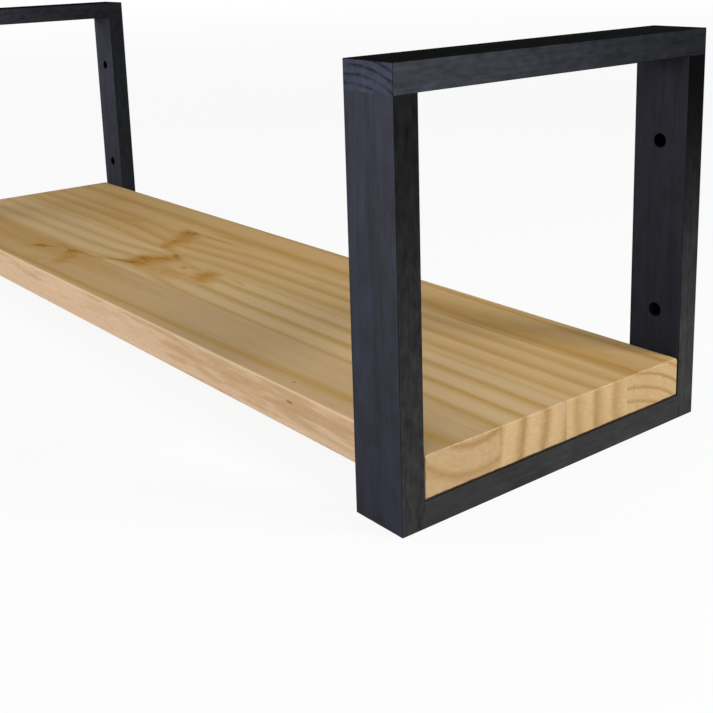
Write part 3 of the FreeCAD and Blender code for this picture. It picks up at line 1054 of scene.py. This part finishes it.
class TurnedMesh:
    """Skins turned about straight axes, each built ring by ring, for one piece."""

    def __init__(self, grain: Grain) -> None:
        """Start with no skin, for axes that lie along the fibres."""
        self.axes = grain.places()
        self.net = bmesh.new()

    def corner(self, foot: Vector, height: float, across: float, up: float) -> bmesh.types.BMVert:
        """Add a corner.

        Args:
            foot: where the axis starts, in metres.
            height: distance along the axis, in millimetres.
            across: distance from the axis the first way, in millimetres.
            up: distance from the axis the second way, in millimetres.

        Returns:
            The new corner.
        """
        place = foot.copy()
        for axis, far in zip(self.axes, (height, across, up)):
            place[axis] += far * MM
        return self.net.verts.new(place)

    def turn(self, foot: Vector, rows: Rows) -> list[Ring]:
        """Turn a skin that is open at both ends.

        Args:
            foot: where the axis starts, in metres.
            rows: heights along the axis and the radii all round at each, in millimetres.

        Returns:
            The rings of corners, from the foot on.
        """
        rings: list[Ring] = []
        for height, radii in rows:
            turns = [math.tau * step / len(radii) for step in range(len(radii))]
            rings.append([
                self.corner(foot, height, radius * math.cos(turn), radius * math.sin(turn))
                for radius, turn in zip(radii, turns)
            ])
        for low, high in zip(rings, rings[1:]):
            self.wall(low, high)
        return rings

    def wall(self, low: Ring, high: Ring) -> None:
        """Join two rings of as many corners by faces."""
        for step in range(len(low)):
            after = (step + 1) % len(low)
            self.net.faces.new((low[step], low[after], high[after], high[step]))

    def close(self, ring: Ring) -> None:
        """Close the end of a skin with one face."""
        self.net.faces.new(ring)

    def close_round(self, outer: Ring, inner: Ring) -> None:
        """Close the end of a skin, all but a hole in it."""
        loops = [
            self.net.edges.get((ring[step - 1], ring[step]))
            for ring in (outer, inner)
            for step in range(len(ring))
        ]
        bmesh.ops.triangle_fill(self.net, use_beauty=True, edges=loops)

    def stand_for(self, node: str, name: str, finish: bpy.types.Material) -> None:
        """Put the piece in the place of a node.

        Args:
            node: name of the node.
            name: name of the piece.
            finish: the finish.
        """
        bmesh.ops.recalc_face_normals(self.net, faces=self.net.faces)
        mesh = bpy.data.meshes.new(name)
        self.net.to_mesh(mesh)
        self.net.free()
        for face in mesh.polygons:
            face.use_smooth = True
        mesh.set_sharp_from_angle(angle=SHARP_FROM)
        mesh.materials.append(finish)
        piece = bpy.data.objects.new(name, mesh)
        bpy.context.scene.collection.objects.link(piece)
        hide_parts(node)
        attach(piece, "root")
        log.info("%s stands for %s, dressed in %s", name, node, finish.name)


# A hooked rim, a dark eye and a thin streak to the next strip, in the strip at the front.
FRONT_KNOTS = (
    KnotRim(-165, -240, 45, 33, 36, 58, 0.27, 1.1),
    KnotMark(-152, -208, 9, 5.0, -40, 0.5),
    KnotMark(-196, -224, 11, 4.4, 25, 1.4),
    KnotMark(-195, -219, 34, 15.0, 14, 0.6),
    KnotMark(-182, -216, 13, 3.0, 20, 1.0),
    KnotMark(-184, -204, 40, 4.5, 6, 0.5),
    KnotMark(-132, -204, 34, 3.4, 4, 1.0),
    KnotMark(-155, -247, 16, 6.0, 30, 0.6),
)
# An oval knot in the second strip: a fan of streaks on its left, a smaller one on its right and a
# small eye between them.
SECOND_KNOTS = (
    KnotMark(-58, -158, 29, 20.0, 75, 0.92),
    KnotMark(-52, -141, 14, 5.0, -25, 0.8),
    KnotMark(-72, -168, 18, 9.0, 20, 0.8),
    KnotMark(-58, -182, 18, 8.0, -20, 0.5),
    KnotMark(31, -156, 20, 14.0, -35, 1.0),
    KnotMark(-8, -178, 34, 10.0, 4, 0.72),
    KnotMark(-6, -158, 64, 24.0, 0, 0.36),
    KnotMark(-11, -155, 7, 3.0, -30, 0.5),
    KnotMark(-88, -191, 36, 3.8, 20, 1.2),
    KnotMark(66, -145, 18, 3.5, -12, 0.5),
)
# The side of another branch, which left the third strip at a slant.
THIRD_KNOTS = (
    KnotRim(-150, -131, 52, 51, 38, 60, 0.27, 1.05),
    KnotMark(-126, -80, 20, 6.0, 0, 0.45),
    KnotMark(-74, -134, 28, 4.0, -16, 0.6),
    KnotMark(-40, -96, 84, 26.0, 0, 0.26),
    KnotMark(-228, -99, 62, 14.0, -4, 0.6),
)
# A golden band that follows the grain near the wall.
WALL_KNOTS = (
    KnotMark(330, -55, 120, 12.0, 0, 0.62),
    KnotMark(0, -50, 110, 9.0, 0, 0.3),
)


@dataclass(frozen=True)
class PineBoard:
    """The board, glued up from strips whose rings all lie differently."""

    finish: PineFinish = PineFinish()
    strips: tuple[PineStrip, ...] = (
        PineStrip(
            "board_strip_1",
            Growth(-217, -63.7, 19.0, 0.553, lean_up=0.0216, late_from=0.68, seed=11.0),
            FRONT_KNOTS,
            pockets=(
                ResinPocket(310, -261, -102, 4.0, 1.0, 1.1),
                ResinPocket(301, -250, -93, 1.6, 0.9, 0.8),
            ),
            contrast=(0.85, 0.85),
            pale=(0.57, 0.4, 0.22),
            sanded_edge=-260.9,
        ),
        PineStrip(
            "board_strip_2",
            Growth(-325, -82, 21.5, 0.953, late_from=0.5, seed=23.0),
            SECOND_KNOTS,
            pushes=(RingPush(-50, 70, 11),),
            contrast=(0.9, 0.62),
            oil=(0.0, 0.3),
            pale=(0.668, 0.482, 0.266),
        ),
        PineStrip(
            "board_strip_3",
            Growth(50, -107, 19.8, 0.92, late_from=0.35, seed=37.0),
            THIRD_KNOTS,
            pushes=(RingPush(-100, 85, 10),),
            contrast=(0.84, 0.72),
            oil=(0.35, 1.0),
        ),
        PineStrip(
            "board_strip_4",
            Growth(-79, -220, 9.9, 0.87, lean_across=-0.02, waver=1.0, late_from=0.7, seed=41.0),
            WALL_KNOTS,
            contrast=(0.9, 0.72),
            oil=(0.75, 1.0),
        ),
    )

    def build(self) -> None:
        """Dress every strip."""
        for strip in self.strips:
            dress(strip.node, self.finish.material(strip))


@dataclass(frozen=True)
class DowelPair:
    """The two dowels of a corner joint, pressed with flutes that let the glue rise past them."""

    side: Side
    joint: str
    grain: Grain
    flutes: int = 16
    steps: int = 6
    flute_depth: float = 0.25
    bevel: float = 1.0

    def build(self, finish: bpy.types.Material) -> None:
        """Turn both dowels in the place of their node.

        Args:
            finish: the finish.
        """
        node = f"{self.side.value}_{self.joint}_dowels"
        low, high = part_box(node)
        turned = TurnedMesh(self.grain)
        along, _, thick = turned.axes
        length = (high[along] - low[along]) * MM_PER_M
        half = (high[thick] - low[thick]) / 2
        rows = self.rows(length, half * MM_PER_M)
        for x in (low.x + half, high.x - half):
            foot = (low + high) / 2
            foot.x = x
            foot[along] = low[along]
            rings = turned.turn(foot, rows)
            turned.close(rings[0])
            turned.close(rings[-1])
        name = f"{self.side.value}_{self.joint}_fluted_dowels"
        turned.stand_for(node, name, finish)

    def rows(self, length: float, radius: float) -> Rows:
        """Give the outline of a dowel.

        Args:
            length: from end to end, in millimetres.
            radius: at the crests between the flutes, in millimetres.

        Returns:
            Heights and the radii all round at each: bevelled ends with fluted wood between.
        """
        count = self.flutes * self.steps
        tip = [radius - self.bevel] * count
        fluted = [
            radius - self.flute_depth * math.sin(math.pi * step / self.steps) ** 2
            for step in range(count)
        ]
        return [(0.0, tip), (self.bevel, fluted), (length - self.bevel, fluted), (length, tip)]


@dataclass(frozen=True)
class BattenFrame:
    """One frame: two posts, a top rail across them and a bottom rail between them.

    Of its back post it holds how light the front is painted at the top, how light the sides are
    painted from the foot up, both painted light and shade, and the cast of the sides.
    """

    side: Side
    seed: float
    back_post_front: float
    back_post_side: Pair
    back_post_hue: Triple = PLAIN_BLACK
    foot_share: float = 0.72
    seed_step: float = 3.7
    waver: float = 1.4
    feather: float = 0.5
    late_from: float = 0.55
    bore_middle: float = 428.0
    bore_rise: float = 62.0
    bore_radius: float = 5.0
    finish: BlackStainFinish = BlackStainFinish()
    beech: BeechFinish = BeechFinish()

    def battens(self) -> tuple[Batten, ...]:
        """List the four battens of the frame."""
        front = self.back_post_front
        middle = self.bore_middle if self.side is Side.RIGHT else -self.bore_middle
        rises = (-self.bore_rise, self.bore_rise)
        # Face levels are painted light and shade: narrow faces mostly lighter at the foot or the
        # room end, the top rail's top and underside near black.
        return (
            Batten(
                "front_post",
                Grain.UPRIGHT,
                heart=(-14, 60),
                ring_width=5.5,
                broad=(0.029, 0.041),
                narrow=(0.036, 0.0105),
                mottle=1.7,
            ),
            Batten(
                "back_post",
                Grain.UPRIGHT,
                heart=(18, 70),
                ring_width=6.0,
                broad=(self.foot_share * front, front),
                narrow=self.back_post_side,
                narrow_hue=self.back_post_hue,
                bores=tuple(Bore(middle, rise, self.bore_radius) for rise in rises),
            ),
            Batten(
                "top_rail",
                Grain.FRONT_TO_BACK,
                heart=(-15, -82),
                ring_width=5.2,
                broad=(0.0085, 0.0105),
                narrow=(0.045, 0.018),
                broad_hue=PLAIN_BLACK,
                narrow_hue=SEA_BLACK,
                gloss=0.0,
            ),
            Batten(
                "bottom_rail",
                Grain.FRONT_TO_BACK,
                heart=(12, 66),
                ring_width=5.5,
                broad=(0.02, 0.02),
                narrow=(0.042, 0.045),
                mottle=0.4,
            ),
        )

    def build(self) -> None:
        """Dress the battens and turn the dowels of their joints."""
        for step, batten in enumerate(self.battens()):
            node = f"{self.side.value}_{batten.part}"
            low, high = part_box(node)
            middle = (low + high) / 2 * MM_PER_M
            _, across, up = batten.grain.places()
            growth = Growth(
                middle[across] + batten.heart[0],
                middle[up] + batten.heart[1],
                batten.ring_width,
                waver=self.waver,
                feather=self.feather,
                late_from=self.late_from,
                seed=self.seed + self.seed_step * step,
            )
            dress(node, self.finish.material(batten, node, growth))
        for level, grain in (("top", Grain.UPRIGHT), ("bottom", Grain.FRONT_TO_BACK)):
            finish = self.beech.material(f"beech.{self.side.value}_{level}", grain)
            for end in ("front", "back"):
                DowelPair(self.side, f"{level}_{end}", grain).build(finish)


@dataclass(frozen=True)
class BoardScrews:
    """The screws that hold the board down on both frames: countersunk, with a coarse thread."""

    finish: ZincFinish = ZincFinish()
    head_rim: float = 0.1
    shank_radius: float = 1.5
    plain_length: float = 14.0
    core_radius: float = 1.3
    thread_radius: float = 2.0
    pitch: float = 1.8
    tooth: float = 0.3
    point_length: float = 5.0
    point_radius: float = 0.1
    rows_per_turn: int = 10
    steps: int = 30
    recess_arms: int = 4
    recess_span: float = 3.4
    recess_width: float = 1.1
    recess_depth: float = 1.5
    recess_taper: float = 0.8

    def build(self) -> None:
        """Turn the screws of both frames in the place of their nodes."""
        finish = self.finish.material("zinc.board_screws")
        for side in Side:
            node = f"{side.value}_board_screws"
            low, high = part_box(node)
            turned = TurnedMesh(Grain.UPRIGHT)
            half = (high.x - low.x) / 2
            length = (high.z - low.z) * MM_PER_M
            for y in (low.y + half, high.y - half):
                foot = Vector((low.x + half, y, low.z))
                rings = turned.turn(foot, self.rows(length, half * MM_PER_M))
                turned.close(rings[-1])
                self.cut_recess(turned, foot, rings[0])
            turned.stand_for(node, f"{side.value}_threaded_board_screws", finish)

    def rows(self, length: float, head_radius: float) -> Rows:
        """Give the outline of a screw.

        Args:
            length: from the head to the point, in millimetres.
            head_radius: radius of the head, in millimetres.

        Returns:
            Heights from the head on and the radii all round at each.
        """
        rim = head_radius - self.head_rim
        plain = [
            (0.0, rim),
            (self.head_rim, rim),
            (head_radius - self.shank_radius, self.shank_radius),
            (self.plain_length - self.pitch, self.shank_radius),
        ]
        rows = [(height, [radius] * self.steps) for height, radius in plain]
        threaded = length - self.plain_length
        count = round(threaded / self.pitch * self.rows_per_turn)
        turns = [step / self.steps for step in range(self.steps)]
        for row in range(count + 1):
            height = self.plain_length + threaded * row / count
            rows.append((height, [self.thread(height, length, turn) for turn in turns]))
        return rows

    def thread(self, height: float, length: float, turn: float) -> float:
        """Give the radius at one spot of the thread.

        Args:
            height: distance from the head, in millimetres.
            length: length of the screw, in millimetres.
            turn: how far round the spot lies, from 0 to 1.

        Returns:
            The radius in millimetres, which rises from the shank at first and falls to the point.
        """
        place = (height / self.pitch - turn) % 1.0
        crest = max(0.0, 1.0 - abs(place - 0.5) / self.tooth)
        start = min(1.0, (height - self.plain_length) / self.pitch)
        radius = self.core_radius + (self.thread_radius - self.core_radius) * crest * start
        return max(radius * min(1.0, (length - height) / self.point_length), self.point_radius)

    def cut_recess(self, turned: TurnedMesh, foot: Vector, rim: Ring) -> None:
        """Close a screw's head with a cross recess in it.

        Args:
            turned: the mesh of the screws.
            foot: middle of the head, in metres.
            rim: the ring of corners round the head.
        """
        tip = self.recess_span / 2
        arm = self.recess_width / 2
        cross = []
        for turns in range(self.recess_arms):
            cos = math.cos(math.tau * turns / self.recess_arms)
            sin = math.sin(math.tau * turns / self.recess_arms)
            corners = ((tip, -arm), (tip, arm), (arm, arm))
            cross += [(x * cos - y * sin, x * sin + y * cos) for x, y in corners]
        taper = self.recess_taper
        mouth = [turned.corner(foot, 0.0, x, y) for x, y in cross]
        floor = [turned.corner(foot, self.recess_depth, x * taper, y * taper) for x, y in cross]
        turned.wall(mouth, floor)
        turned.close(floor)
        turned.close_round(rim, mouth)


COOL: Triple = (0.985, 1.0, 1.06)
WARM: Triple = (1.02, 1.0, 0.96)


@dataclass(frozen=True)
class SoftBox:
    """A large soft lamp: where it hangs, how wide and tall it is, its power in watts, its colour."""

    name: str
    place: Triple
    width: float
    height: float
    power: float
    colour: Triple

    def build(self, target: Vector) -> None:
        """Hang the lamp.

        Args:
            target: the point that it faces, in metres.
        """
        lamp = bpy.data.lights.new(self.name, "AREA")
        lamp.shape = "RECTANGLE"
        lamp.size = self.width
        lamp.size_y = self.height
        lamp.energy = self.power
        lamp.color = self.colour
        holder = bpy.data.objects.new(self.name, lamp)
        holder.location = self.place
        holder.rotation_euler = (target - holder.location).to_track_quat("-Z", "Y").to_euler()
        holder.visible_camera = False
        bpy.context.scene.collection.objects.link(holder)


@dataclass(frozen=True)
class Studio:
    """A white floor, a white sky and soft lamps, all outside the object."""

    floor_reach: float = 14.0
    floor_colour: Triple = (0.94, 0.94, 0.94)
    floor_white: float = 0.9
    white_from: float = 1.2
    all_white_at: float = 6.0
    sky_light: float = 0.3
    aim: Triple = (0.1, -0.14, -0.05)
    lamps: tuple[SoftBox, ...] = (
        SoftBox("front_left_lamp", (-1.4, -1.8, 0.9), 1.2, 0.8, 16.8, COOL),
        SoftBox("front_low_lamp", (0.1, -2.0, 0.15), 1.4, 0.5, 7.8, COOL),
        SoftBox("front_right_lamp", (1.5, -1.8, 0.8), 1.0, 0.8, 10.0, WARM),
        SoftBox("right_low_lamp", (1.35, -0.25, 0.0), 0.6, 0.25, 0.6, WARM),
        SoftBox("right_high_lamp", (1.38, 0.36, 1.0), 0.45, 0.45, 11.4, WARM),
    )

    def build(self) -> None:
        """Lay the floor, hang the lamps and light the sky."""
        self.lay_floor(CAD_BOX[0].z)
        for lamp in self.lamps:
            lamp.build(Vector(self.aim))
        self.light_sky()
        bpy.context.scene.view_settings.view_transform = "Standard"

    def lay_floor(self, height: float) -> None:
        """Lay the floor under the object.

        Args:
            height: where the object stands, in metres.
        """
        reach = self.floor_reach
        corners = ((-reach, -reach), (reach, -reach), (reach, reach), (-reach, reach))
        mesh = bpy.data.meshes.new("floor")
        mesh.from_pydata([(x, y, height) for x, y in corners], [], [range(len(corners))])
        floor = bpy.data.objects.new("floor", mesh)
        bpy.context.scene.collection.objects.link(floor)
        finish = bpy.data.materials.new("white_floor")
        graph = NodeGraph(finish)
        graph.tree.nodes.remove(graph.tree.nodes["Principled BSDF"])
        matt = graph.node("ShaderNodeBsdfDiffuse", (*self.floor_colour, 1.0))
        white = graph.node("ShaderNodeEmission", (*WHITE, 1.0))
        place = graph.node("ShaderNodeNewGeometry").outputs["Position"]
        far = graph.node("ShaderNodeVectorMath", place, operation="LENGTH").outputs["Value"]
        limits = (self.white_from, self.all_white_at, self.floor_white, 1.0)
        fade = graph.node("ShaderNodeMapRange", far, *limits).outputs[0]
        share = graph.calc("MULTIPLY", graph.seen_directly(), fade)
        graph.end_in_mix("Material Output", share, matt.outputs[0], white.outputs[0])
        mesh.materials.append(finish)

    def light_sky(self) -> None:
        """Make the sky white to the eye and dimmer as a light."""
        sky = bpy.data.worlds.new("sky")
        bpy.context.scene.world = sky
        graph = NodeGraph(sky)
        graph.tree.nodes.remove(graph.tree.nodes["Background"])
        dim, white = (
            graph.node("ShaderNodeBackground", (*WHITE, 1.0), strength).outputs[0]
            for strength in (self.sky_light, 1.0)
        )
        graph.end_in_mix("World Output", graph.seen_directly(), dim, white)


@dataclass(frozen=True)
class PhotoCamera:
    """The camera at the photograph's viewing angle, in metres, degrees and millimetres of film."""

    eye: Triple = (0.9210, -0.6764, 0.2019)
    azimuth: float = 51.92
    elevation: float = 13.2
    roll: float = 1.71
    lens: float = 58.0
    film_width: float = 36.0
    rise: float = -0.2

    def build(self) -> None:
        """Set the camera up and make it the scene's own."""
        optics = bpy.data.cameras.new("photo_camera")
        optics.lens = self.lens
        optics.sensor_width = self.film_width
        optics.shift_y = self.rise
        holder = bpy.data.objects.new("photo_camera", optics)
        bpy.context.scene.collection.objects.link(holder)
        turn = math.radians(self.azimuth)
        tilt = math.radians(self.elevation)
        level = math.cos(tilt)
        back = Vector((math.sin(turn) * level, -math.cos(turn) * level, math.sin(tilt)))
        aim = (-back).to_track_quat("-Z", "Y").to_matrix().to_4x4()
        roll = Matrix.Rotation(math.radians(-self.roll), 4, "Z")
        holder.matrix_world = Matrix.Translation(self.eye) @ aim @ roll
        bpy.context.scene.camera = holder


def main() -> None:
    """Build the camera, the studio and every part of the shelf, in that order."""
    logging.basicConfig(level=logging.INFO, format="%(name)s: %(message)s")
    PhotoCamera().build()
    Studio().build()
    PineBoard().build()
    BattenFrame(
        Side.LEFT,
        seed=53.0,
        back_post_front=0.048,
        back_post_side=(0.0205, 0.0165),
        back_post_hue=SEA_BLACK,
    ).build()
    # The right back post: its front painted darker as the front post's shade, its sides painted from
    # lit at the foot to near black at the top.
    BattenFrame(
        Side.RIGHT,
        seed=71.0,
        back_post_front=0.0235,
        back_post_side=(0.046, 0.001),
    ).build()
    BoardScrews().build()


if __name__ == "__main__":
    main()
